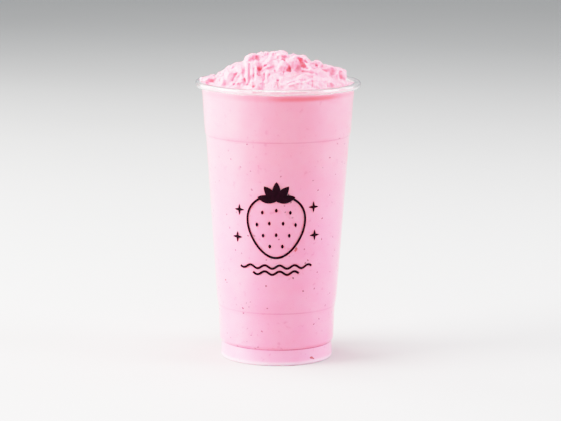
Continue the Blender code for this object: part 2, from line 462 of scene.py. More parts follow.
# %% [markdown]
# ## The material of the milkshake
#
# Milk, ice and crushed strawberry, whipped with air. Light goes a millimetre or more into it
# and comes out again tinted, red furthest, which is what makes it look soft: subsurface
# scattering. The colour is never even: paler where there is more ice. Light and shade are
# painted into it too: the hollows of the heap a deeper pink as painted shade and its crests
# paler as a painted highlight, a few coral patches of painted shade on the heap, and a deep pink
# band of painted shade just under the rim, strongest at the front right, where the key light
# reaches least. Two numbers that every point of the mesh will carry, one for the hollows and
# one for the coral patches, say where they are. Down the wall the pink turns a little cooler, a
# thin line of painted shade stands in each bend of the sheet, and the foot looks paler, its
# lowest millimetres painted lighter against the shadow where the cup stands. Each colour is
# laid over the last like a coat of paint, and a factor from 0 to 1 says where the coat covers.

# %% Milkshake: blended and half frozen, soft and matt
SHAKE_PINK = "#FC8EA7"
SHAKE_LOWER = "#F98BAB"
SHAKE_HEAP = "#F39DB0"
# Pale ice in streaks, and the painted highlight on the crests of the heap
SHAKE_ICE_AND_HIGHLIGHT = "#F4BCC9"
# Painted shade in the hollows of the heap
SHAKE_HOLLOW_SHADE = "#DA7F96"
# Painted shade in coral pink, in round patches on the heap
SHAKE_CORAL_SHADE = "#FA8088"
SHAKE_FOOT = "#F8A2C2"
# Painted light: the lowest millimetres of the drink paler against the shadow under the cup
SHAKE_BASE_LIGHT = "#FFD2E2"
# Painted shade in a band just under the rim
RIM_SHADE_PINK = "#EE556E"
# Darker pulp in small patches, and the painted shade in the bends of the wall
PULP_AND_BEND_SHADE = "#C4527A"
BRIM = 178.0

# From this height to that one in mm, how much of the colour comes in
LEVELS = (
    (90.0, 135.0, 1.0, SHAKE_PINK),
    (BRIM, BRIM + 2.0, 1.0, SHAKE_HEAP),
    (10.9, 10.3, 0.6, SHAKE_FOOT),
    # Painted light against the shadow where the cup stands
    (3.2, 0.8, 0.95, SHAKE_BASE_LIGHT),
)

# From this value of a pattern to that one, how much of the colour comes in
STREAKS_SHOW = (0.4, 0.7, 0.12, SHAKE_ICE_AND_HIGHLIGHT)
PULP_SHOWS = (0.66, 0.76, 0.3, PULP_AND_BEND_SHADE)
# Painted highlight on the crests of the heap, and painted shade in its hollows
CREST_HIGHLIGHT_SHOWS = (-0.15, -0.9, 0.7, SHAKE_ICE_AND_HIGHLIGHT)
HOLLOW_SHADE_SHOWS = (0.15, 1.3, 0.5, SHAKE_HOLLOW_SHADE)

STREAK_SIZE = 16.0
PULP_SIZE = 3.2
# Where the painted shade under the rim lies: its heights, the side where it is strongest, and how it fades
# round the cup
RIM_SHADE_LOW = 171.9
RIM_SHADE_HIGH = 177.3
RIM_SHADE_SIDE = Vector((0.42, -0.9075, 0.0))
RIM_SHADE_FADES = (0.0395, 0.0478)
RIM_SHADE_ALL_ROUND = 0.36
# Painted shade lines at the bends: height and strength of each
BEND_LINES = ((10.7, 1.0), (34.8, 0.4), (146.6, 0.42))
BEND_LINE = 0.8
BEND_PATCH = 28.0
BEND_PATCHES = (0.4, 0.6)
BEND_WEAKEST = 0.65
BEND_STRONGEST = 1.15
GRAIN_SIZE = 0.7
GRAIN_DEPTH = 0.12
GRAIN_STRENGTH = 0.25
SHAKE_ROUGHNESS = 0.5
SHAKE_IOR = 1.34
LIGHT_GOES = (2.0, 0.8, 0.9)


def bend_shade_lines(tree, height, patches):
    """Thin lines of painted shade, one at each bend of the wall, a little stronger and weaker round the cup.
    """
    span = {1: BEND_PATCHES[0], 2: BEND_PATCHES[1], 3: BEND_WEAKEST, 4: BEND_STRONGEST}
    uneven = add(tree, "ShaderNodeMapRange", {0: patches, **span})
    for level, strength in BEND_LINES:
        off = add(tree, "ShaderNodeMath", {0: height, 1: level * MM}, operation="SUBTRACT")
        gap = add(tree, "ShaderNodeMath", {0: off}, operation="ABSOLUTE")
        fall = {0: gap, 1: BEND_LINE * MM, 2: 0.0, 3: 0.0, 4: strength}
        line = add(tree, "ShaderNodeMapRange", fall, interpolation_type="SMOOTHSTEP")
        yield add(tree, "ShaderNodeMath", {0: line, 1: uneven}, operation="MULTIPLY", use_clamp=True)


def rim_shade_factor(tree, height, place):
    """A band of painted shade just under the brim, strongest at the front right, where the key light reaches
    least.
    """
    middle = (RIM_SHADE_LOW + RIM_SHADE_HIGH) / 2
    spans = [{0: height, 1: edge * MM, 2: middle * MM} for edge in (RIM_SHADE_LOW, RIM_SHADE_HIGH)]
    towards = add(tree, "ShaderNodeVectorMath", {0: place, 1: RIM_SHADE_SIDE}, operation="DOT_PRODUCT")
    spans.append({0: towards.outputs["Value"], 1: RIM_SHADE_FADES[0], 2: RIM_SHADE_FADES[1], 3: RIM_SHADE_ALL_ROUND})
    above, below, side = (
        add(tree, "ShaderNodeMapRange", span, interpolation_type="SMOOTHSTEP") for span in spans
    )
    band = add(tree, "ShaderNodeMath", {0: above, 1: below}, operation="MULTIPLY")
    return add(tree, "ShaderNodeMath", {0: band, 1: side}, operation="MULTIPLY")


def shake_colour(tree, place):
    """All the pinks, with the painted shade and highlight, one coat over the other."""
    height = add(tree, "ShaderNodeSeparateXYZ", {0: place}).outputs["Z"]
    streaks, patches, pulp = (
        add(tree, "ShaderNodeTexNoise", {"Vector": place, "Scale": 1 / (size * MM), "Detail": detail})
        for size, detail in ((STREAK_SIZE, 4.0), (BEND_PATCH, 0.0), (PULP_SIZE, 1.0))
    )
    hollow, fruit = (
        add(tree, "ShaderNodeAttribute", attribute_name=name).outputs["Fac"] for name in ("hollow", "fruit")
    )
    shows = [(height, (low * MM, high * MM, share, paint)) for low, high, share, paint in LEVELS]
    shows += [(streaks, STREAKS_SHOW), (pulp, PULP_SHOWS), (hollow, CREST_HIGHLIGHT_SHOWS), (hollow, HOLLOW_SHADE_SHOWS)]
    coats = []
    for value, (start, end, share, paint) in shows:
        span = {0: value, 1: start, 2: end, 3: 0.0, 4: share}
        coats.append((add(tree, "ShaderNodeMapRange", span), paint))
    coats += [(line, PULP_AND_BEND_SHADE) for line in bend_shade_lines(tree, height, patches)]
    # Coral patches of painted shade on the heap, and the painted shade under the rim
    coats += [(fruit, SHAKE_CORAL_SHADE), (rim_shade_factor(tree, height, place), RIM_SHADE_PINK)]

    colour = linear(SHAKE_LOWER)
    for factor, paint in coats:
        coat = {"Factor": factor, "A": colour, "B": linear(paint)}
        colour = add(tree, "ShaderNodeMix", coat, data_type="RGBA")
    return colour


def shake_material():
    material = bpy.data.materials.new("blended_milkshake")
    material.use_nodes = True
    tree = material.node_tree
    tree.nodes.clear()
    place = add(tree, "ShaderNodeTexCoord").outputs["Object"]
    grain = add(tree, "ShaderNodeTexNoise", {"Vector": place, "Scale": 1 / (GRAIN_SIZE * MM), "Detail": 3.0})
    relief = {"Height": grain, "Strength": GRAIN_STRENGTH, "Distance": GRAIN_DEPTH * MM}
    look = {
        "Base Color": shake_colour(tree, place),
        "Roughness": SHAKE_ROUGHNESS,
        "IOR": SHAKE_IOR,
        "Subsurface Weight": 1.0,
        "Subsurface Radius": LIGHT_GOES,
        "Subsurface Scale": MM,
        "Normal": add(tree, "ShaderNodeBump", relief),
    }
    shader = add(tree, "ShaderNodeBsdfPrincipled", look)
    add(tree, "ShaderNodeOutputMaterial", {"Surface": shader})
    return material


blended = shake_material()
print("made", blended.name)

# %% [markdown]
# ## The milkshake under the brim
#
# The drink fills the cup, so its shape is the cup's own inner face. It reaches a hair into the
# wall instead of stopping short of it: with a gap between them, the plastic would show a layer
# of air and the drink would look like a liner. Its top is flat, and the heap will cover it.

# %% Make the drink
SINK = 0.12


def drink_line():
    """The sheet's line moved inwards, but a hair less than half its thickness."""
    return moved_sideways(wall_line(), half - SINK)


at_brim = curl(half - SINK, CURL_START, CURL_START, 1)[0][0]
milkshake = turned("milkshake_heap", [*drink_line(), (at_brim, BRIM), (0.0, BRIM)])
print("drink:", len(milkshake.data.polygons), "faces, up to", BRIM, "mm")

# %% [markdown]
# ## Where the clumps of the heap lie
#
# The heap is blended ice and milk that stood up when it was scooped in: rounded clumps that lean
# on each other, a few big ones along the top that give the outline, ridges that run down
# the front, and many small ones all over. They sit on a low dome, and each is an ellipsoid
# laid on the dome's slope. The lists and the seeded draws are the same as the model's, so
# the fine heap keeps the model's form.

# %% The dome and the clumps
SUNK = 6.0
DOME_RADIUS = 45.5
DOME_HEIGHT = 13.5
DOME_POWER = 0.8
CROWN_RADIUS = 20.0
CROWN_HEIGHT = 4.6
CROWN_POWER = 4
CORE_RINGS = 30

# Middle x and y, height of the top above the rim, and half sizes along x, y and z
CRESTS = (
    (-44.6, -1.0, 2.9, 6.4, 8.0, 2.3),
    (-39.4, 1.5, 4.4, 5.0, 6.5, 4.0),
    (-30.2, 0.5, 9.8, 4.6, 7.0, 4.6),
    (-34.6, -1.0, 6.2, 4.0, 6.0, 4.0),
    (-24.4, -3.0, 12.6, 4.8, 6.0, 5.0),
    (-18.0, -2.0, 17.8, 4.3, 5.2, 8.0),
    (-10.6, 2.0, 18.0, 5.6, 6.0, 5.0),
    (-3.6, 0.5, 18.7, 5.2, 5.8, 4.6),
    (2.0, -3.0, 19.9, 4.6, 5.4, 2.2),
    (9.2, 2.0, 17.4, 3.2, 4.6, 5.0),
    (15.6, -2.0, 17.0, 4.4, 5.6, 6.8),
    (24.6, 1.0, 13.4, 3.9, 5.2, 4.6),
    (32.0, 0.0, 11.0, 5.2, 6.4, 4.6),
    (39.6, -1.0, 8.6, 5.0, 8.0, 6.6),
    (29.0, -21.0, 5.0, 9.0, 8.5, 5.4),
    (12.0, -27.0, 4.4, 8.0, 6.5, 4.6),
)

# x of the middle, distance down the front, half width, half length, turn from straight down
FOLDS = (
    (-24.4, 12.0, 2.3, 9.0, 3.0),
    (-19.2, 14.0, 2.3, 10.5, 0.0),
    (-14.2, 14.5, 2.1, 9.5, -3.0),
    (-30.5, 19.0, 2.6, 8.0, 8.0),
    (8.2, 13.5, 3.2, 10.0, -38.0),
    (17.5, 15.0, 2.8, 8.0, 24.0),
    (-6.0, 16.5, 2.6, 8.0, -14.0),
    (0.8, 19.0, 3.0, 8.0, 10.0),
)
FOLD_THICK = 3.4
FOLD_LIFT = 1.5

SEED = 11
LOOSE_CLUMPS = 200
LOOSE_WIDTH = (2.2, 5.0)
LOOSE_LENGTH = (1.0, 1.9)
LOOSE_THICK = (0.75, 1.0)
LOOSE_SHOWS = (0.2, 0.9)
LOOSE_TURN = 70.0
REACH = 47.6
REACH_LEAN = 3.0
REACH_WIDTH = 0.9


def dome(x, y):
    """The height of the heap's core: a dome with a blunt crown in its middle."""
    away = math.hypot(x, y)
    share = min(1.0, away / DOME_RADIUS)
    crown = max(0.0, 1.0 - (away / CROWN_RADIUS) ** CROWN_POWER)
    return BRIM + DOME_HEIGHT * (1.0 - share * share) ** DOME_POWER + CROWN_HEIGHT * crown


def slope(x, y, heading):
    """The direction along the core's surface at this heading, over a step of 1 mm."""
    step = Vector((math.cos(heading), math.sin(heading))) / 2
    rise = dome(x + step.x, y + step.y) - dome(x - step.x, y - step.y)
    return Vector((2 * step.x, 2 * step.y, rise)).normalized()


def seat(x, y, heading):
    """A point of the core, with its directions across the heading, along it and outwards."""
    along = slope(x, y, heading)
    out = slope(x, y, heading - math.pi / 2).cross(along).normalized()
    return Vector((x, y, dome(x, y))), Matrix((along.cross(out), along, out)).transposed()


def crest_clumps():
    for x, y, top, wide, deep, tall in CRESTS:
        yield Vector((x, y, RIM_HEIGHT + top - tall)), Matrix.Identity(3), (wide, deep, tall)


def fold_clumps():
    for x, away, wide, long, turn in FOLDS:
        place, axes = seat(x, -away, math.radians(turn - 90.0))
        yield place + axes.col[2] * FOLD_LIFT, axes, (wide, long, FOLD_THICK)


def loose_clumps():
    draw = random.Random(SEED)
    for _ in range(LOOSE_CLUMPS):
        bearing = draw.uniform(0.0, math.tau)
        wide = draw.uniform(*LOOSE_WIDTH)
        long = wide * draw.uniform(*LOOSE_LENGTH)
        limit = REACH - REACH_LEAN * math.cos(bearing) - REACH_WIDTH * wide
        away = limit * math.sqrt(draw.random())
        heading = bearing + math.radians(draw.uniform(-LOOSE_TURN, LOOSE_TURN))
        place, axes = seat(away * math.cos(bearing), away * math.sin(bearing), heading)
        thick = wide * draw.uniform(*LOOSE_THICK)
        middle = place - axes.col[2] * thick * (1.0 - draw.uniform(*LOOSE_SHOWS))
        yield middle, axes, (wide, long, thick)


clumps = [*crest_clumps(), *fold_clumps(), *loose_clumps()]
print("clumps in the heap:", len(clumps))

# %% [markdown]
# ## Growing the clumps
#
# One point per clump carries its half sizes and its turn as attributes. The tree sets a fine
# ball on every point, stretched and turned by them, and joins the dome to the lot. At this
# stage they are still hundreds of bodies that pass through each other.

# %% The tree that grows clumps from points
BALL_DETAIL = 4

clump_tree, given = recipe(
    "grow_clumps", Detail=BALL_DETAIL, Core=bpy.types.Object, Material=bpy.types.Material
)
half_size, turn = (
    add(clump_tree, "GeometryNodeInputNamedAttribute", {"Name": name}, data_type="FLOAT_VECTOR")
    for name in ("half_size", "turn")
)
ball = add(clump_tree, "GeometryNodeMeshIcoSphere", {"Radius": 1.0, "Subdivisions": given["Detail"]})
spin = add(clump_tree, "FunctionNodeEulerToRotation", {"Euler": turn})
laying = {"Points": given["Geometry"], "Instance": ball, "Rotation": spin, "Scale": half_size}
placed = add(clump_tree, "GeometryNodeInstanceOnPoints", laying)
core = add(clump_tree, "GeometryNodeObjectInfo", {"Object": given["Core"]}).outputs["Geometry"]
together = add(clump_tree, "GeometryNodeJoinGeometry")
clump_tree.links.new(output_of(placed), together.inputs[0])
clump_tree.links.new(core, together.inputs[0])
finish(clump_tree, together, given["Material"])


def lumps(name, places, **inputs):
    """Points with the tree that turns each into a body: place, directions and half sizes."""
    points = new_object(name, [middle for middle, axes, sizes in places])
    set_values(points, "half_size", [[size * MM for size in sizes] for middle, axes, sizes in places])
    set_values(points, "turn", [axes.to_euler() for middle, axes, sizes in places])
    use(points, clump_tree, **inputs)
    return points


rings = [DOME_RADIUS * (1.0 - i / CORE_RINGS) for i in range(CORE_RINGS + 1)]
under = [(0.0, BRIM - SUNK), (DOME_RADIUS, BRIM - SUNK)]
heap_core = turned("core", [*under, *((r, dome(r, 0.0)) for r in rings)])
heap = lumps("heap", clumps, Core=heap_core)
print("points for the heap:", len(heap.data.vertices))

# %% [markdown]
# ## Making them one soft body
#
# A voxel remesh lays a grid through the clumps and keeps only the skin round them all, so they
# fuse like snow. Real clumps have also begun to melt together, and thick milk fills the narrow
# gaps between them. Swelling the body along its normals closes such gaps, and after another
# remesh the same step inwards opens only the wide ones again: the clumps keep their place and
# outline, but they now flow into each other.

# %% The tree that swells a body
swell, given = recipe("swell", Distance=0.0)
step_out = add(swell, "ShaderNodeMath", {0: given["Distance"], 1: MM}, operation="MULTIPLY")
reshape(swell, given["Geometry"], along_normal(swell, step_out))

# %% [markdown]
# ## Roughening the heap
#
# Then the surface is worked like the real one: a slow wander turns balls into odd lumps,
# sharp ridges give the torn edges of broken ice, and a fine crumb is left over it. Ridged noise
# suits ice because its crests are narrow and its valleys wide. The ridges and the coarse crumb
# have their middle above that of the noise, so they take away more than they add, which keeps
# the heap inside its outline.

# %% The tree that roughens the heap
WANDER_SIZE = 9.0
WANDER_DEPTH = 1.3
RIDGE_SIZE = 7.5
RIDGE_DEPTH = 1.0
RIDGE_MIDDLE = 0.6
CRUMB_SIZE = 2.0
CRUMB_DEPTH = 0.35
CRUMB_MIDDLE = 0.55
FINE_SIZE = 0.9
FINE_DEPTH = 0.1

ragged, given = recipe("ragged_ice", Size=1.0, Depth=1.0, Middle=0.5, Along=1.0, Ridged=0.0)
place = add(ragged, "GeometryNodeInputPosition")
scale = add(ragged, "ShaderNodeMath", {0: 1.0 / MM, 1: given["Size"]}, operation="DIVIDE")
soft = add(ragged, "ShaderNodeTexNoise", {"Vector": place, "Scale": scale, "Detail": 2.0, "Roughness": 0.5})
sharp = add(
    ragged,
    "ShaderNodeTexNoise",
    {"Vector": place, "Scale": scale, "Detail": 3.0, "Roughness": 0.55, "Offset": 0.9, "Gain": 1.6},
    noise_type="RIDGED_MULTIFRACTAL",
    normalize=True,
)
depth = add(ragged, "ShaderNodeMath", {0: given["Depth"], 1: MM}, operation="MULTIPLY")
pull = {0: soft.outputs["Color"], 1: (0.5, 0.5, 0.5)}
centred = add(ragged, "ShaderNodeVectorMath", pull, operation="SUBTRACT")
wandering = add(ragged, "ShaderNodeVectorMath", {0: centred, "Scale": depth}, operation="SCALE")
reliefs = {"Factor": given["Ridged"], "A": soft.outputs[0], "B": sharp.outputs[0]}
relief = add(ragged, "ShaderNodeMix", reliefs)
raised = add(ragged, "ShaderNodeMath", {0: relief, 1: given["Middle"]}, operation="SUBTRACT")
lift = add(ragged, "ShaderNodeMath", {0: raised, 1: depth}, operation="MULTIPLY")
ways = {"Factor": given["Along"], "A": wandering, "B": along_normal(ragged, lift)}
reshape(ragged, given["Geometry"], add(ragged, "ShaderNodeMix", ways, data_type="VECTOR"))

# %% [markdown]
# ## Ribbons down the slopes
#
# Where the mix was poured and slid, it lies in ribbons that run downhill, about four
# millimetres wide. A noise stretched along one direction makes ribbons, but here downhill is a
# different direction on every side. So the noise is read in coordinates of the heap's own:
# the bearing, as a place on a circle, and the way down, which counts for much less. Near the
# middle the bearings crowd together, so the ribbons fade out there.

# %% The tree that lays ribbons
RIBBON_WIDTH = 4.2
RIBBON_STRETCH = 5.0
RIBBON_DEPTH = 1.5
RIBBON_MIDDLE = 0.55
BEARING_RADIUS = 30.0
FADE_FROM = 8.0
FADE_TO = 20.0

ribbons, given = recipe("lay_ribbons", Width=RIBBON_WIDTH, Stretch=RIBBON_STRETCH, Depth=RIBBON_DEPTH)
place = add(ribbons, "GeometryNodeInputPosition")
level = add(ribbons, "ShaderNodeVectorMath", {0: place, 1: (1.0, 1.0, 0.0)}, operation="MULTIPLY")
away = add(ribbons, "ShaderNodeVectorMath", {0: level}, operation="LENGTH").outputs["Value"]
way = add(ribbons, "ShaderNodeVectorMath", {0: level}, operation="NORMALIZE")
bearing = add(ribbons, "ShaderNodeVectorMath", {0: way, "Scale": BEARING_RADIUS * MM}, operation="SCALE")
height = add(ribbons, "ShaderNodeSeparateXYZ", {0: place}).outputs["Z"]
down = add(ribbons, "ShaderNodeMath", {0: away, 1: height}, operation="SUBTRACT")
short = add(ribbons, "ShaderNodeMath", {0: down, 1: given["Stretch"]}, operation="DIVIDE")
downhill = add(ribbons, "ShaderNodeCombineXYZ", {"Z": short})
lane = add(ribbons, "ShaderNodeVectorMath", {0: bearing, 1: downhill}, operation="ADD")
scale = add(ribbons, "ShaderNodeMath", {0: 1.0 / MM, 1: given["Width"]}, operation="DIVIDE")
lanes = add(ribbons, "ShaderNodeTexNoise", {"Vector": lane, "Scale": scale, "Detail": 1.5, "Distortion": 0.4})
edges = {0: away, 1: FADE_FROM * MM, 2: FADE_TO * MM}
fade = add(ribbons, "ShaderNodeMapRange", edges, interpolation_type="SMOOTHSTEP")
rise = add(ribbons, "ShaderNodeMath", {0: lanes, 1: RIBBON_MIDDLE}, operation="SUBTRACT")
depth = add(ribbons, "ShaderNodeMath", {0: given["Depth"], 1: 2 * MM}, operation="MULTIPLY")
lift = add(ribbons, "ShaderNodeMath", {0: rise, 1: depth}, operation="MULTIPLY")
faded = add(ribbons, "ShaderNodeMath", {0: lift, 1: fade}, operation="MULTIPLY")
reshape(ribbons, given["Geometry"], along_normal(ribbons, faded))

# %% [markdown]
# ## Ridges and cuts of its own
#
# The seeded draws give the heap its mass, but what the eye knows it by is particular: ribbons
# side by side on the left, a curved gap under a fold, a lip of its own at the right. Each of
# these is drawn as a short stroke on an upright sheet through the middle of the cup, and thrown
# from where the camera stands onto the heap, like a shadow. A stroke is its two ends (how far
# to the right, and how far above the rim), half its width, and how far it rises or sinks.
# Turned copies of the strokes finish the sides and the back in the same way.

# %% The strokes and how they are thrown onto the heap
RIDGES = (
    ((-35.8, 0.1), (-35.4, -2.4), 1.5, 1.4),
    ((-3.5, 7.8), (-6.7, 5.1), 0.9, 0.9),
    ((-6.7, 5.7), (-7.5, 0.1), 1.0, 1.1),
    ((-7.5, 0.8), (-7.9, -4.1), 1.1, 1.0),
    ((2.4, 11.6), (1.1, 7.5), 1.9, 1.2),
    ((-9.5, 7.7), (-4.7, 9.2), 1.1, 1.0),
    ((7.6, -3.0), (14.4, -1.5), 1.2, 1.1),
    ((16.4, -1.9), (21.4, 0.6), 1.2, 1.1),
    ((-24.2, 9.1), (-23.7, -1.3), 1.0, 0.9),
    ((-20.3, 10.4), (-20.1, -1.2), 1.0, 0.9),
    ((-17.3, 11.1), (-17.0, -1.2), 1.0, 0.9),
    ((-14.5, 9.2), (-14.2, 0.1), 0.8, 0.7),
    ((14.0, 14.8), (17.5, 13.9), 1.1, 0.8),
    ((17.5, 13.9), (19.6, 10.4), 1.1, 0.8),
    ((43.1, 6.6), (43.4, 1.8), 1.2, 0.6),
    ((-31.3, 7.8), (-29.3, 9.7), 1.2, 0.6),
    ((8.4, 15.5), (9.5, 13.2), 1.1, 0.7),
    ((-49.7, 1.2), (-46.0, 1.4), 1.2, 0.5),
    ((-16.6, 16.2), (-14.8, 16.2), 1.4, 1.5),
    ((-8.6, 17.4), (-7.2, 17.4), 1.3, 1.5),
    ((-4.2, 18.0), (-1.8, 18.0), 1.3, 1.1),
    ((12.2, 15.9), (13.4, 15.9), 1.3, 1.0),
)
CUTS = (
    ((-43.8, 0.2), (-38.6, -1.2), 1.6, 2.0),
    ((-48.6, 0.4), (-45.3, 0.0), 0.5, 0.7),
    ((-26.8, 5.5), (-28.2, 2.9), 1.1, 2.2),
    ((-28.0, 3.3), (-29.4, 0.1), 0.9, 1.5),
    ((-21.7, 9.5), (-21.8, 5.6), 0.9, 1.2),
    ((-22.8, 5.2), (-21.2, -1.3), 0.6, 1.2),
    ((-18.8, 11.7), (-18.7, 5.3), 0.6, 1.3),
    ((-18.8, 5.9), (-18.7, -1.6), 0.6, 1.2),
    ((-15.8, 7.9), (-15.6, 0.1), 0.5, 0.9),
    ((-7.3, 10.6), (-11.5, 9.0), 1.1, 2.4),
    ((-11.2, 9.2), (-12.7, 6.7), 1.2, 2.8),
    ((-12.7, 7.2), (-12.5, 3.4), 1.2, 2.8),
    ((-13.9, 16.3), (-13.8, 14.0), 1.0, 1.6),
    ((-13.4, 14.0), (-11.5, 11.8), 0.9, 1.2),
    ((-9.1, 5.0), (-8.9, 0.1), 0.6, 1.8),
    ((-0.4, 15.4), (0.8, 12.3), 1.2, 1.6),
    ((0.4, 14.1), (4.0, 13.2), 1.0, 1.7),
    ((3.8, 13.4), (5.6, 10.6), 0.9, 1.7),
    ((-2.0, 7.1), (-2.0, 5.6), 0.6, 1.1),
    ((3.4, 6.1), (3.4, 0.7), 0.5, 0.9),
    ((-0.1, 0.8), (0.1, -4.7), 0.8, 2.2),
    ((-1.0, -0.7), (-2.0, -3.9), 0.9, 1.7),
    ((-19.8, -2.9), (-15.3, -3.8), 1.0, 2.0),
    ((-28.2, -2.7), (-24.3, -2.9), 0.9, 1.3),
    ((13.2, 13.9), (15.9, 11.3), 1.6, 1.7),
    ((14.8, 10.3), (18.5, 8.1), 1.5, 2.2),
    ((15.3, 6.1), (19.7, 6.0), 0.7, 1.6),
    ((19.4, 6.0), (22.0, 4.7), 0.8, 1.7),
    ((6.5, -2.0), (10.2, -0.3), 0.8, 1.7),
    ((9.9, -0.3), (17.9, 0.8), 0.8, 1.6),
    ((15.2, -0.4), (15.3, -4.3), 0.7, 1.4),
    ((24.4, 10.1), (25.2, 9.2), 0.9, 2.2),
    ((27.6, 8.0), (31.8, 7.0), 1.7, 2.0),
    ((22.6, 7.8), (25.3, 6.2), 0.6, 1.0),
    ((40.2, 6.3), (40.5, 1.9), 1.4, 1.9),
    ((21.8, 2.3), (22.0, -3.6), 0.6, 1.1),
    ((32.1, 0.7), (32.2, -4.2), 0.5, 0.7),
    ((6.9, 10.9), (7.3, 5.8), 0.8, 1.1),
    ((-37.9, 0.3), (-37.6, -2.7), 0.7, 1.0),
    ((-40.2, 4.1), (-38.4, 4.8), 3.0, 3.6),
    ((-37.4, 5.8), (-33.8, 8.0), 3.4, 2.9),
    ((-27.6, 12.2), (-24.8, 12.7), 1.5, 1.6),
    ((-12.6, 18.0), (-10.4, 18.5), 1.4, 2.0),
    ((5.0, 18.6), (8.4, 17.6), 2.2, 1.2),
    ((9.6, 17.9), (10.6, 17.8), 1.5, 2.2),
)
TURNS = (0.0, 105.0, 180.0, 255.0)
BEHIND = 5.0
STROKE_STEP = 0.25


def thrown(strokes, target):
    """Where the strokes fall on the target, as points that carry their half width and depth."""
    places = []
    sizes = []
    for turn in TURNS:
        swing = Matrix.Rotation(math.radians(turn), 3, "Z")
        eye = swing @ CAMERA_PLACE
        for start, end, wide, deep in strokes:
            ends = [swing @ Vector((x, 0.0, RIM_HEIGHT + up)) * MM for x, up in (start, end)]
            steps = 1 + round((ends[1] - ends[0]).length / (STROKE_STEP * MM))
            for i in range(steps + 1):
                way = ends[0].lerp(ends[1], i / steps) - eye
                hit, place, normal, face = target.ray_cast(eye, way.normalized())
                if hit and (turn == 0.0 or place.y > BEHIND * MM):
                    places.append(place / MM)
                    sizes.append((wide, deep))
    points = new_object("thrown", places)
    set_values(points, "half_width", [wide for wide, deep in sizes])
    set_values(points, "depth", [deep for wide, deep in sizes])
    return points


print("strokes on the heap:", len(RIDGES), "ridges and", len(CUTS), "cuts")

# %% [markdown]
# ## Pressing the strokes into the heap
#
# Each point of the heap looks for the nearest point of a stroke. How far that is, as a share of
# the stroke's half width, says how strongly it follows: fully on the line, not at all beyond the
# edge, and with a bowl-shaped section between, which leaves a crisp edge like torn ice.

# %% The tree that presses strokes
STROKE_SPREAD = 1.2


def nearest_stroke(tree, strokes, place):
    """The distance to the nearest point of a stroke, and that point's half width and depth."""
    drawn = add(tree, "GeometryNodeObjectInfo", {"Object": strokes}).outputs["Geometry"]
    search = {"Geometry": drawn, "Sample Position": place}
    nearest = add(tree, "GeometryNodeSampleNearest", search, domain="POINT")
    fields = [place]
    for name in ("half_width", "depth"):
        fields.append(add(tree, "GeometryNodeInputNamedAttribute", {"Name": name}, data_type="FLOAT"))
    found = []
    for field, kind in zip(fields, ("FLOAT_VECTOR", "FLOAT", "FLOAT")):
        reading = {"Geometry": drawn, "Value": field, "Index": nearest}
        found.append(add(tree, "GeometryNodeSampleIndex", reading, data_type=kind))
    goal, wide, deep = found
    gap = add(tree, "ShaderNodeVectorMath", {0: place, 1: goal}, operation="DISTANCE").outputs["Value"]
    return gap, wide, deep


press, given = recipe("press_strokes", Strokes=bpy.types.Object, Direction=1.0, Spread=STROKE_SPREAD)
gap, wide, deep = nearest_stroke(press, given["Strokes"], add(press, "GeometryNodeInputPosition"))
edge = add(press, "ShaderNodeMath", {0: wide, 1: given["Spread"]}, operation="MULTIPLY")
edge = add(press, "ShaderNodeMath", {0: edge, 1: MM}, operation="MULTIPLY")
share = add(press, "ShaderNodeMath", {0: gap, 1: edge}, operation="DIVIDE")
square = add(press, "ShaderNodeMath", {0: share, 1: share}, operation="MULTIPLY")
bowl = add(press, "ShaderNodeMath", {0: 1.0, 1: square}, operation="SUBTRACT", use_clamp=True)
lift = bowl
for factor in (deep, given["Direction"], MM):
    lift = add(press, "ShaderNodeMath", {0: lift, 1: factor}, operation="MULTIPLY")
reshape(press, given["Geometry"], along_normal(press, lift))

# %% [markdown]
# ## Fusing the heap with the drink
#
# The rim keeps the heap in, so a ring shaped like the rim and all that is outside it is cut
# away from the joined body. The MANIFOLD solver is the fast one for closed meshes. Fusing can
# seal small hollows inside: they show from nowhere, so only the largest body is kept. The
# noise may lift a crumb above the model's own top, so all that stands over the brim is pressed
# down by the same small share.

# %% Fuse, cut and keep one body
FIRST_GRAIN = 0.7
LAST_GRAIN = 0.5
CLOSING = 0.8
CLEAR_TOP = 0.05
OVER_CURL_END = 30.0
OVER_CURL_STEPS = 14
BEYOND_RIM = 6.0


def remesh(thing, grain):
    step = thing.modifiers.new("even", "REMESH")
    step.mode = "VOXEL"
    step.voxel_size = grain * MM


def boolean(thing, operation, other):
    step = thing.modifiers.new(operation.lower(), "BOOLEAN")
    step.operation = operation
    step.solver = "MANIFOLD"
    step.object = other


def keep_out_ring():
    """The rolled rim, a hair slimmer, and all that is outside the neck below it."""
    neck = moved_sideways(wall_line(), half - SINK)[-2:]
    over_curl = curl(half - SINK, CURL_START, OVER_CURL_END, OVER_CURL_STEPS)
    far = RIM_RADIUS + BEYOND_RIM
    return turned("keep_out", [*neck, *over_curl, (far, over_curl[-1][1]), (far, neck[0][1])])


def keep_largest_body(thing):
    """Splits the mesh into bodies that hang together and deletes all but the largest."""
    work = bmesh.new()
    work.from_mesh(thing.data)
    left = set(work.verts)
    found = []
    while left:
        body = set()
        reached = [left.pop()]
        while reached:
            vert = reached.pop()
            body.add(vert)
            for edge in vert.link_edges:
                other = edge.other_vert(vert)
                if other in left:
                    left.remove(other)
                    reached.append(other)
        found.append(body)
    found.sort(key=len)
    bmesh.ops.delete(work, geom=[v for body in found[:-1] for v in body], context="VERTS")
    work.to_mesh(thing.data)
    work.free()
    return len(found)


def keep_under(thing, top):
    """Presses what stands over the brim down, so that the highest point comes to this height."""
    highest = max(v.co.z for v in thing.data.vertices)
    share = min(1.0, (top - BRIM * MM) / (highest - BRIM * MM))
    for vert in thing.data.vertices:
        if vert.co.z > BRIM * MM:
            vert.co.z = BRIM * MM + (vert.co.z - BRIM * MM) * share
    return share


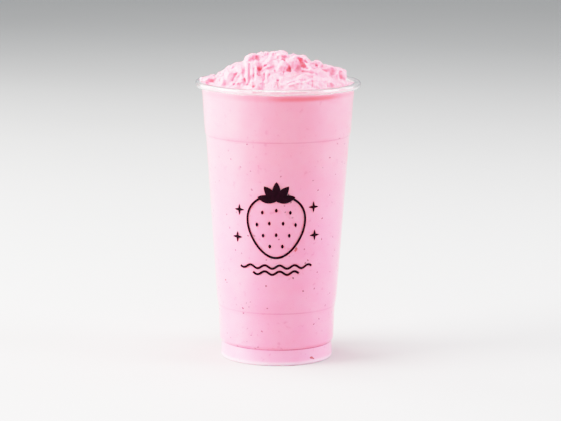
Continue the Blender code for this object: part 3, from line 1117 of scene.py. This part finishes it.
remesh(heap, FIRST_GRAIN)
use(heap, swell, Distance=CLOSING)
remesh(heap, FIRST_GRAIN)
use(heap, swell, Distance=-CLOSING)
remesh(heap, LAST_GRAIN)
use(heap, ragged, Size=WANDER_SIZE, Depth=WANDER_DEPTH * 2, Along=0.0)
use(heap, ribbons)
use(heap, ragged, Size=RIDGE_SIZE, Depth=RIDGE_DEPTH, Middle=RIDGE_MIDDLE, Ridged=1.0)
remesh(heap, LAST_GRAIN)
settle(heap)
bpy.context.view_layer.update()
raised = thrown(RIDGES, heap)
use(heap, press, Strokes=raised)
settle(heap)
bpy.context.view_layer.update()
sunk = thrown(CUTS, heap)
use(heap, press, Strokes=sunk, Direction=-1.0)
remesh(heap, LAST_GRAIN)
use(heap, ragged, Size=CRUMB_SIZE, Depth=CRUMB_DEPTH * 2, Middle=CRUMB_MIDDLE)
use(heap, ragged, Size=FINE_SIZE, Depth=FINE_DEPTH * 2)
settle(heap)
print("pressed to", round(keep_under(heap, cad_box[1][2] - CLEAR_TOP * MM), 3), "of its height")
print("heap:", len(heap.data.polygons), "faces")

keep_out = keep_out_ring()
boolean(milkshake, "UNION", heap)
boolean(milkshake, "DIFFERENCE", keep_out)
settle(milkshake)
print("bodies joined:", keep_largest_body(milkshake))
for spent in (heap, heap_core, raised, sunk, keep_out):
    remove(spent)

# %% [markdown]
# ## Measuring the hollows
#
# Light that falls into a crevice bounces from pink to pink, so the hollows are painted a deeper
# pink as painted shade, and the crests paler as a painted highlight. To paint them, the mesh has
# to know where they are: blur every point's place with its neighbours' and see how far it
# moves along the normal. In a hollow it moves out, on a crest in. That number is kept as an
# attribute for the material.
#
# A second attribute says where coral patches of painted shade lie on the heap: round patches,
# thrown onto it like the strokes, each with its radius and strength.

# %% The tree that measures hollows and lays patches of painted shade
BLUR_STEPS = 7
HOLLOW_SIZE = 0.5
# Round patches of painted coral shade: place on the upright sheet, radius and strength
CORAL_SHADE_PATCHES = (
    ((14.8, 12.6), 4.4, 0.45),
    ((17.0, 8.9), 3.4, 0.35),
    ((12.1, 3.4), 7.5, 0.45),
    ((8.0, 8.0), 3.6, 0.35),
    ((-41.4, -0.4), 3.4, 0.45),
    ((-27.9, 2.6), 2.8, 0.2),
    ((-16.9, -3.5), 3.4, 0.4),
    ((-0.1, -2.6), 3.4, 0.35),
    ((0.9, 13.8), 2.6, 0.25),
    ((3.3, 17.6), 2.6, 0.15),
    ((29.5, 7.5), 4.4, 0.25),
    ((40.2, 4.0), 2.8, 0.25),
    ((-11.0, 8.0), 3.0, 0.3),
)

measured, given = recipe(
    "measure_hollows",
    Steps=BLUR_STEPS,
    Size=HOLLOW_SIZE,
    Above=BRIM,
    Stains=bpy.types.Object,
    Material=bpy.types.Material,
)
place = add(measured, "GeometryNodeInputPosition")
blurring = {"Value": place, "Iterations": given["Steps"]}
blurred = add(measured, "GeometryNodeBlurAttribute", blurring, data_type="FLOAT_VECTOR")
shift = add(measured, "ShaderNodeVectorMath", {0: blurred, 1: place}, operation="SUBTRACT")
normal = add(measured, "GeometryNodeInputNormal")
outwards = add(measured, "ShaderNodeVectorMath", {0: shift, 1: normal}, operation="DOT_PRODUCT")
size = add(measured, "ShaderNodeMath", {0: given["Size"], 1: MM}, operation="MULTIPLY")
share = add(measured, "ShaderNodeMath", {0: outwards.outputs["Value"], 1: size}, operation="DIVIDE")
height = add(measured, "ShaderNodeSeparateXYZ", {0: place}).outputs["Z"]
brim = add(measured, "ShaderNodeMath", {0: given["Above"], 1: MM}, operation="MULTIPLY")
on_heap = add(measured, "ShaderNodeMath", {0: height, 1: brim}, operation="GREATER_THAN")
kept = add(measured, "ShaderNodeMath", {0: share, 1: on_heap}, operation="MULTIPLY")
gap, radius, strength = nearest_stroke(measured, given["Stains"], place)
reach = add(measured, "ShaderNodeMath", {0: radius, 1: MM}, operation="MULTIPLY")
fall = {0: gap, 1: reach, 2: 0.0, 3: 0.0, 4: strength}
coral_shade = add(measured, "ShaderNodeMapRange", fall, interpolation_type="SMOOTHSTEP")
stored = given["Geometry"]
for name, value in (("hollow", kept), ("fruit", coral_shade)):
    note = {"Geometry": stored, "Name": name, "Value": value}
    stored = add(measured, "GeometryNodeStoreNamedAttribute", note, data_type="FLOAT", domain="POINT")
finish(measured, stored, given["Material"])

# %% Measure, lay the painted shade and finish the milkshake
SHARP_ANGLE = 75.0

bpy.context.view_layer.update()
coral_shade_patches = thrown([(place, place, radius, strength) for place, radius, strength in CORAL_SHADE_PATCHES], milkshake)
use(milkshake, measured, Stains=coral_shade_patches, Material=blended)
settle(milkshake)
remove(coral_shade_patches)
milkshake.data.shade_smooth()
milkshake.data.set_sharp_from_angle(angle=math.radians(SHARP_ANGLE))
top = max(v.co.z for v in milkshake.data.vertices) / MM
print("milkshake:", len(milkshake.data.polygons), "faces, top at", round(top, 1), "mm")

# %% [markdown]
# ## Strawberry seeds at the wall
#
# A strawberry has about two hundred seeds on its skin, each a flat drop a little over a
# millimetre long. The blender leaves them whole, and those that lie against the plastic show as
# brown pink specks, more of them low down. So the seeds are scattered over the drink's wall by
# chance, with a density that grows towards the foot. Each is a ball of few faces, flattened
# against the wall, and it lies within the thickness of the plastic.

# %% The tree that scatters seeds
SEEDS_PER_CM2 = 0.55
SEED_DRAW = 3
SEED_LOW = 5.0
SEED_HIGH = 168.0
MORE_AT_FOOT = 1.6
FEWER_AT_TOP = 0.6
CM2 = 1e-4

# Half sizes, the smallest and the largest
SEED_LENGTH = (0.55, 0.85)
SEED_WIDTH = (0.38, 0.55)
SEED_THICK = (0.14, 0.14)

scatter, given = recipe(
    "scatter_seeds",
    Density=SEEDS_PER_CM2 / CM2,
    Seed=SEED_DRAW,
    Low=1.0,
    High=1.0,
    Material=bpy.types.Material,
)
height = add(scatter, "ShaderNodeSeparateXYZ", {0: add(scatter, "GeometryNodeInputPosition")}).outputs["Z"]
span = {0: height, 1: 0.0, 2: SEED_HIGH * MM, 3: given["Low"], 4: given["High"]}
share = add(scatter, "ShaderNodeMapRange", span)
density = add(scatter, "ShaderNodeMath", {0: share, 1: given["Density"]}, operation="MULTIPLY")
strewing = {"Mesh": given["Geometry"], "Density": density, "Seed": given["Seed"]}
spots = add(scatter, "GeometryNodeDistributePointsOnFaces", strewing).outputs
spins = {"Min": 0.0, "Max": math.tau, "Seed": given["Seed"]}
spin = add(scatter, "FunctionNodeRandomValue", spins, data_type="FLOAT")
about_wall = add(scatter, "FunctionNodeAxisAngleToRotation", {"Axis": (0.0, 0.0, 1.0), "Angle": spin})
turning = {"Rotation": spots["Rotation"], "Rotate By": about_wall}
spun = add(scatter, "FunctionNodeRotateRotation", turning, rotation_space="LOCAL")
least, most = ([size * MM for size in pair] for pair in zip(SEED_LENGTH, SEED_WIDTH, SEED_THICK))
sizes = {"Min": least, "Max": most, "Seed": given["Seed"]}
size = add(scatter, "FunctionNodeRandomValue", sizes, data_type="FLOAT_VECTOR")
seed_ball = add(scatter, "GeometryNodeMeshIcoSphere", {"Radius": 1.0, "Subdivisions": 2})
laying = {"Points": spots["Points"], "Instance": seed_ball, "Rotation": spun, "Scale": size}
finish(scatter, add(scatter, "GeometryNodeInstanceOnPoints", laying), given["Material"])


def two_shades(name, dark, light, size, detail=1.0, edges=(0.4, 0.6), roughness=0.4):
    """Two shades of one colour in patches of this size, with a soft gloss or none."""
    material = bpy.data.materials.new(name)
    material.use_nodes = True
    tree = material.node_tree
    shader = tree.nodes["Principled BSDF"]
    place = add(tree, "ShaderNodeTexCoord").outputs["Object"]
    patches = add(tree, "ShaderNodeTexNoise", {"Vector": place, "Scale": 1 / (size * MM), "Detail": detail})
    shade = add(tree, "ShaderNodeMapRange", {0: patches, 1: edges[0], 2: edges[1]})
    shades = {"Factor": shade, "A": linear(dark), "B": linear(light)}
    colour = add(tree, "ShaderNodeMix", shades, data_type="RGBA")
    tree.links.new(output_of(colour), shader.inputs["Base Color"])
    shader.inputs["Roughness"].default_value = roughness
    return material


def wall_strip(name, low, high):
    """The drink's wall between two heights, as an open sheet that other pieces lie on."""
    line = [(r, z) for r, z in drink_line() if low <= z <= high and r > PANEL_RADIUS]
    return turned(name, line, closed=False)


seeds = wall_strip("seeds", SEED_LOW, SEED_HIGH)
# Wet plant skin under a film of milk: soft gloss, brown and pink
seed_skin = two_shades("seed_skin", "#8C3354", "#B7738A", 5.0)
use(seeds, scatter, Seed=SEED_DRAW, Low=MORE_AT_FOOT, High=FEWER_AT_TOP, Material=seed_skin)
settle(seeds)
print("seeds:", len(seeds.data.polygons), "faces")

# %% [markdown]
# ## Flecks of fruit
#
# The blades leave a few red scraps of fruit. They lie flat between the milk and the plastic.
# Each is a lump from the same tree as the heap's clumps, pressed flat, laid on the wall at a
# bearing and a height, and then roughened, so that no two have the same edge. A few ripe, dark
# seeds that catch the eye are laid one by one in the same way.

# %% Make the flecks and the dark seeds
# Bearing in degrees, height, half length, half width and turn of each
FLECKS = (
    (-51.2, 4.2, 1.4, 0.8, 84.0),
    (-48.8, 3.5, 1.1, 0.5, 62.0),
    (-73.1, 77.4, 1.7, 0.85, -25.0),
    (-4.0, 40.0, 0.9, 0.6, 35.0),
    (38.0, 112.0, 0.6, 0.9, 0.0),
    (84.0, 26.0, 1.1, 0.6, 60.0),
    (131.0, 78.0, 0.7, 1.0, 20.0),
    (172.0, 17.0, 1.2, 0.7, 75.0),
    (214.0, 54.0, 0.6, 1.1, 15.0),
)
DARK_SEEDS = (
    (-75.1, 58.6, 0.8, 0.5, 20.0),
    (-64.8, 49.6, 0.7, 0.5, 70.0),
    (-100.1, 53.4, 0.7, 0.45, 0.0),
    (-124.5, 37.3, 0.8, 0.5, 50.0),
)
FLECK_THICK = 0.2
FLECK_ROUGH = 0.35
FLECK_GRAIN = 0.8
FLECK_MIDDLE = 0.6


def wall_radius(height):
    """The drink's radius at this height, read off its own line."""
    line = [(r, z) for r, z in drink_line() if r > PANEL_RADIUS]
    for (low_r, low_z), (high_r, high_z) in zip(line, line[1:]):
        if low_z <= height < high_z:
            return low_r + (high_r - low_r) * (height - low_z) / (high_z - low_z)
    return line[-1][0]


def wall_places(marks):
    """Each mark's place on the wall, its directions and its half sizes."""
    for bearing, height, long, wide, turn in marks:
        out = Vector((math.cos(math.radians(bearing)), math.sin(math.radians(bearing)), 0.0))
        across = Vector((-out.y, out.x, 0.0))
        axes = Matrix((across, Vector((0.0, 0.0, 1.0)), out)).transposed()
        axes = axes @ Matrix.Rotation(math.radians(turn), 3, "Z")
        middle = out * wall_radius(height)
        yield Vector((middle.x, middle.y, height)), axes, (wide, long, FLECK_THICK)


# Both are wet like the seed skins, the flecks as red as the fruit
crushed_fruit = two_shades("crushed_fruit", "#A00018", "#C81E38", 1.0)
ripe_skin = two_shades("ripe_seed_skin", "#4A1630", "#6E2A48", 2.0)
flecks = lumps("fruit_flecks", list(wall_places(FLECKS)), Detail=3, Material=crushed_fruit)
use(flecks, ragged, Size=FLECK_GRAIN, Depth=FLECK_ROUGH, Middle=FLECK_MIDDLE)
dark_seeds = lumps("dark_seeds", list(wall_places(DARK_SEEDS)), Detail=2, Material=ripe_skin)
for piece in (flecks, dark_seeds):
    settle(piece)
    piece.data.shade_smooth()
print("flecks:", len(FLECKS), "with", len(flecks.data.polygons), "faces, dark seeds:", len(DARK_SEEDS))

# %% [markdown]
# ## The print
#
# Cups like this carry a print in one dark ink on the front. Here it is a plain drawing of a
# strawberry over two waves. Screen ink lies a few hundredths of a millimetre thick on the
# plastic, so each stroke is a flattened tube: thin as ink, with the soft edge that ink has.
# The drawing is made flat, as strokes with a width at every point, and wrapped round the
# cone of the wall at the end, so that straight lines follow the cup.

# %% The strokes of the drawing
PRINT_MIDDLE = (-0.7, 92.5)
LINE = 0.75
BERRY_HALF_WIDTH = 18.5
BERRY_HALF_HEIGHT = 20.5
BERRY_TAPER = 0.24
BERRY_STEPS = 72
CROWN_DROP = 4.0
LEAF_ANGLES = (-78.0, -40.0, 0.0, 40.0, 78.0)
LEAF_LENGTH = 12.5
LEAF_HALF_WIDTH = 2.6
LEAF_STEPS = 14
LEAF_TIP = 0.08
LEAF_ROUNDNESS = 0.8
SEED_MARKS = ((-9.0, 9.0), (0.0, 10.5), (9.0, 9.0), (-12.5, 1.0), (-4.4, 2.0), (4.4, 2.0), (12.5, 1.0),
              (-8.4, -6.0), (0.0, -5.5), (8.4, -6.0), (-4.0, -13.0), (4.0, -13.0))
SEED_MARK_LENGTH = 2.8
SEED_MARK_WIDTH = 0.85
WAVE_ROWS = (-26.5, -30.5)
WAVE_HALF_WIDTHS = (24.0, 15.0)
WAVE_HEIGHT = 1.1
WAVE_LENGTH = 9.6
WAVE_STEPS = 60
SPARKS = ((-25.0, 10.0), (25.0, 12.0), (-26.5, -8.0), (26.0, -6.5))
SPARK_LENGTH = 3.6
SPARK_WIDTH = 0.8


def berry():
    """An egg with its narrow end down."""
    points = []
    for i in range(BERRY_STEPS):
        angle = math.tau * i / BERRY_STEPS
        wide = BERRY_HALF_WIDTH * (1.0 + BERRY_TAPER * math.cos(angle))
        points.append((wide * math.sin(angle), BERRY_HALF_HEIGHT * math.cos(angle)))
    return points


def clock_hand(angle):
    """The direction at this many degrees clockwise from straight up."""
    return Vector((math.sin(math.radians(angle)), math.cos(math.radians(angle))))


def leaf_stroke(start, angle, length, half_width):
    """A stroke that swells in its middle and ends in points."""
    points = []
    widths = []
    for i in range(LEAF_STEPS + 1):
        t = i / LEAF_STEPS
        points.append(tuple(Vector(start) + clock_hand(angle) * length * t))
        widths.append(LEAF_TIP + half_width * math.sin(math.pi * t) ** LEAF_ROUNDNESS)
    return points, widths, False


def line_stroke(points, closed):
    """A stroke of one width."""
    return points, [LINE] * len(points), closed


def wave(level, half_width):
    points = []
    for i in range(WAVE_STEPS + 1):
        x = half_width * (2.0 * i / WAVE_STEPS - 1.0)
        points.append((x, level + WAVE_HEIGHT * math.sin(math.tau * x / WAVE_LENGTH)))
    return points


def drawing():
    """Every stroke as its points, its half widths and whether it closes on itself."""
    strokes = [line_stroke(berry(), True)]
    crown = (0.0, BERRY_HALF_HEIGHT - CROWN_DROP)
    strokes += [leaf_stroke(crown, angle, LEAF_LENGTH, LEAF_HALF_WIDTH) for angle in LEAF_ANGLES]
    for x, y in SEED_MARKS:
        start = (x, y + SEED_MARK_LENGTH / 2)
        strokes.append(leaf_stroke(start, 180.0, SEED_MARK_LENGTH, SEED_MARK_WIDTH))
    strokes += [line_stroke(wave(*row), False) for row in zip(WAVE_ROWS, WAVE_HALF_WIDTHS)]
    for x, y in SPARKS:
        for angle in (0.0, 90.0):
            start = Vector((x, y)) - clock_hand(angle) * SPARK_LENGTH
            strokes.append(leaf_stroke(start, angle, 2 * SPARK_LENGTH, SPARK_WIDTH))
    return strokes


strokes = drawing()
print("strokes in the print:", len(strokes))

# %% [markdown]
# ## Ink on a cone
#
# The tree gives each stroke a round profile as wide as its point says, presses it flat to the
# thickness of ink, and wraps it: the distance across the drawing, divided by the radius at that
# height, is the angle round the cup. The wall between the two steps is a straight cone,
# so its radius is a simple sum of height.

# %% The tree that lays ink on the wall
INK = 0.035
PROFILE_SIDES = 8

cone_rise = (UPPER_STEP_FOOT[0] - LOWER_STEP_TOP[0]) / (UPPER_STEP_FOOT[1] - LOWER_STEP_TOP[1])
cone_radius = LOWER_STEP_TOP[0] - LOWER_STEP_TOP[1] * cone_rise + half
print("the wall's radius is", round(cone_radius, 2), "mm at the table and grows", round(cone_rise, 4), "a mm")

ink_tree, given = recipe(
    "lay_ink", Thickness=INK * MM, Radius=cone_radius * MM, Rise=cone_rise, Material=bpy.types.Material
)
width = add(ink_tree, "GeometryNodeInputNamedAttribute", {"Name": "half_width"}, data_type="FLOAT")
curves = add(ink_tree, "GeometryNodeMeshToCurve", {0: given["Geometry"]})
profile = add(ink_tree, "GeometryNodeCurvePrimitiveCircle", {"Resolution": PROFILE_SIDES, "Radius": 1.0})
sweep = {"Curve": curves, "Profile Curve": profile, "Scale": width, "Fill Caps": True}
tubes = add(ink_tree, "GeometryNodeCurveToMesh", sweep)
position = add(ink_tree, "GeometryNodeInputPosition")
across, up, off = add(ink_tree, "ShaderNodeSeparateXYZ", {0: position}).outputs
pressed = add(ink_tree, "ShaderNodeMath", {0: off, 1: width}, operation="DIVIDE")
above = add(ink_tree, "ShaderNodeMath", {0: pressed, 1: given["Thickness"]}, operation="MULTIPLY")
growing = {0: up, 1: given["Rise"], 2: given["Radius"]}
cone = add(ink_tree, "ShaderNodeMath", growing, operation="MULTIPLY_ADD")
radius = add(ink_tree, "ShaderNodeMath", {0: cone, 1: above}, operation="ADD")
angle = add(ink_tree, "ShaderNodeMath", {0: across, 1: cone}, operation="DIVIDE")
sides = []
for kind in ("SINE", "COSINE"):
    share = add(ink_tree, "ShaderNodeMath", {0: angle}, operation=kind)
    sides.append(add(ink_tree, "ShaderNodeMath", {0: radius, 1: share}, operation="MULTIPLY"))
side, front = sides
facing = add(ink_tree, "ShaderNodeMath", {0: front, 1: -1.0}, operation="MULTIPLY")
on_wall = add(ink_tree, "ShaderNodeCombineXYZ", {"X": side, "Y": facing, "Z": up})
wrapped = add(ink_tree, "GeometryNodeSetPosition", {"Geometry": tubes, "Position": on_wall})
finish(ink_tree, wrapped, given["Material"])

# %% [markdown]
# ## Screen ink
#
# A pigmented ink, pushed through a fine mesh and cured. It is matt beside the plastic, and
# its cover is a little uneven, so that a darker and a lighter shade of plum, both nearly black,
# show in it.

# %% Make the print
INK_DARK = "#140008"
INK_LIGHT = "#210211"
INK_ROUGHNESS = 0.7
INK_GLOSS = 0.05
COVER_SIZE = 2.5
COVER_EDGES = (0.35, 0.7)

ink = two_shades("screen_ink", INK_DARK, INK_LIGHT, COVER_SIZE, 3.0, COVER_EDGES, INK_ROUGHNESS)
ink.node_tree.nodes["Principled BSDF"].inputs["Specular IOR Level"].default_value = INK_GLOSS


def make_print():
    points = []
    edges = []
    widths = []
    for line, half_widths, closed in strokes:
        first = len(points)
        points += [(x + PRINT_MIDDLE[0], y + PRINT_MIDDLE[1], 0.0) for x, y in line]
        widths += [width * MM for width in half_widths]
        edges += [(i, i + 1) for i in range(first, len(points) - 1)]
        if closed:
            edges.append((len(points) - 1, first))
    thing = new_object("print", points, edges)
    set_values(thing, "half_width", widths)
    use(thing, ink_tree, Material=ink)
    settle(thing)
    face_outwards(thing)
    thing.data.shade_smooth()
    return thing


ink_print = make_print()
print("print:", len(ink_print.data.polygons), "faces")

# %% [markdown]
# ## Floor and light
#
# A pale floor that runs far back, so that it fills the picture behind the cup, and soft
# light from five sheets: a large one on the left, a weaker one on the right, one above for the
# heap, and one behind on either side, which the plastic mirrors as a white sheen along its
# edges and in the curl of its rim. A pale grey world fills the shadows.

# %% Floor: painted board, matt and a little cloudy
FLOOR_HALF = 30.0
FLOOR_COLOUR = "#C2C1BF"
FLOOR_LIGHTER = "#C8C7C5"
FLOOR_CLOUD = 500.0
FLOOR_ROUGHNESS = 0.7

board = two_shades(
    "painted_board", FLOOR_COLOUR, FLOOR_LIGHTER, FLOOR_CLOUD, 3.0, (0.0, 1.0), FLOOR_ROUGHNESS
)
work = bmesh.new()
bmesh.ops.create_grid(work, x_segments=4, y_segments=4, size=FLOOR_HALF)
floor_mesh = bpy.data.meshes.new("floor")
work.to_mesh(floor_mesh)
work.free()
floor_mesh.materials.append(board)
floor = bpy.data.objects.new("floor", floor_mesh)
scene.collection.objects.link(floor)
floor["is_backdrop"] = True
print("floor:", 2 * FLOOR_HALF, "m across")

# %% Light
AIM = Vector((0.0, 0.0, 0.11))
WORLD_COLOUR = "#E4E8EC"
WORLD_STRENGTH = 0.62

# Place, width and height in metres, watts and colour
LIGHTS = (
    ("key", (-1.55, -0.4, 0.7), 1.1, 1.4, 62.0, "#FFFDFB"),
    ("edge", (-1.3, 0.8, 0.6), 0.8, 1.4, 18.0, "#FFFFFF"),
    ("fill", (1.5, -0.3, 0.6), 0.7, 1.2, 25.0, "#F8F8FF"),
    ("far_edge", (1.3, 0.7, 0.6), 0.5, 1.2, 7.0, "#F8F8FF"),
    ("above", (-0.1, -0.1, 1.5), 0.8, 0.8, 19.0, "#FFFFFF"),
)


def sheet_of_light(name, place, wide, high, watts, colour):
    data = bpy.data.lights.new(name, "AREA")
    data.shape = "RECTANGLE"
    data.size = wide
    data.size_y = high
    data.energy = watts
    data.color = linear(colour)[:3]
    lamp = bpy.data.objects.new(name, data)
    lamp.location = place
    lamp.rotation_euler = (AIM - Vector(place)).to_track_quat("-Z", "Y").to_euler()
    scene.collection.objects.link(lamp)


for light in LIGHTS:
    sheet_of_light(*light)

world = bpy.data.worlds.new("studio")
scene.world = world
world.use_nodes = True
background = world.node_tree.nodes["Background"]
background.inputs["Color"].default_value = linear(WORLD_COLOUR)
background.inputs["Strength"].default_value = WORLD_STRENGTH

# %% [markdown]
# ## How the camera answers to light
#
# A renderer adds light up without a limit, but a picture ends at white. Cutting off what is
# brighter turns pink highlights into flat magenta, because the red is cut first. A camera
# does it gently: up to half of white it records light as it is, and from there on each doubling
# adds less, so bright pink fades towards white. One curve on the linear values does the same.

# %% Film curve
KNEE = 0.5
BRIGHTEST = 4.0
CURVE_POINTS = 16
CURVE_SPREAD = 1.6


def film(light):
    """Straight up to the knee, then closer and closer to white."""
    if light <= KNEE:
        return light
    return 1.0 - (1.0 - KNEE) * math.exp(-(light - KNEE) / (1.0 - KNEE))


view = scene.view_settings
view.view_transform = "Standard"
view.use_curve_mapping = True
response = view.curve_mapping
response.white_level = (BRIGHTEST,) * 3
curve = response.curves[3]
curve.points[0].location = (0.0, 0.0)
curve.points[1].location = (1.0, film(BRIGHTEST))
for i in range(1, CURVE_POINTS):
    share = (i / CURVE_POINTS) ** CURVE_SPREAD
    curve.points.new(share, film(share * BRIGHTEST))
response.update()
print("light of 0.4, 1 and 2 becomes", [round(film(light), 3) for light in (0.4, 1.0, 2.0)])

# %% [markdown]
# ## Bring it together
#
# Every piece rides on the one body of the object. The cup and the milkshake stand for the
# model's own nodes. The seeds, the flecks and the print are additions that the model leaves out.

# %% Hang each piece on the object's body, and hide the model's own cup and milkshake
for piece, slot in (
    (cup, "clear_pet"),
    (milkshake, "strawberry_milkshake"),
    (seeds, "strawberry_milkshake"),
    (flecks, "strawberry_milkshake"),
    (dark_seeds, "strawberry_milkshake"),
    (ink_print, "clear_pet"),
):
    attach(piece, "root")
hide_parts("cup")
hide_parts("milkshake")

# %% Measure the sizes
visual_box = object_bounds()
sizes = {"cad": [list(corner) for corner in cad_box], "visual": [list(corner) for corner in visual_box]}
print("visual box in mm:", [[round(v / MM, 2) for v in corner] for corner in visual_box])
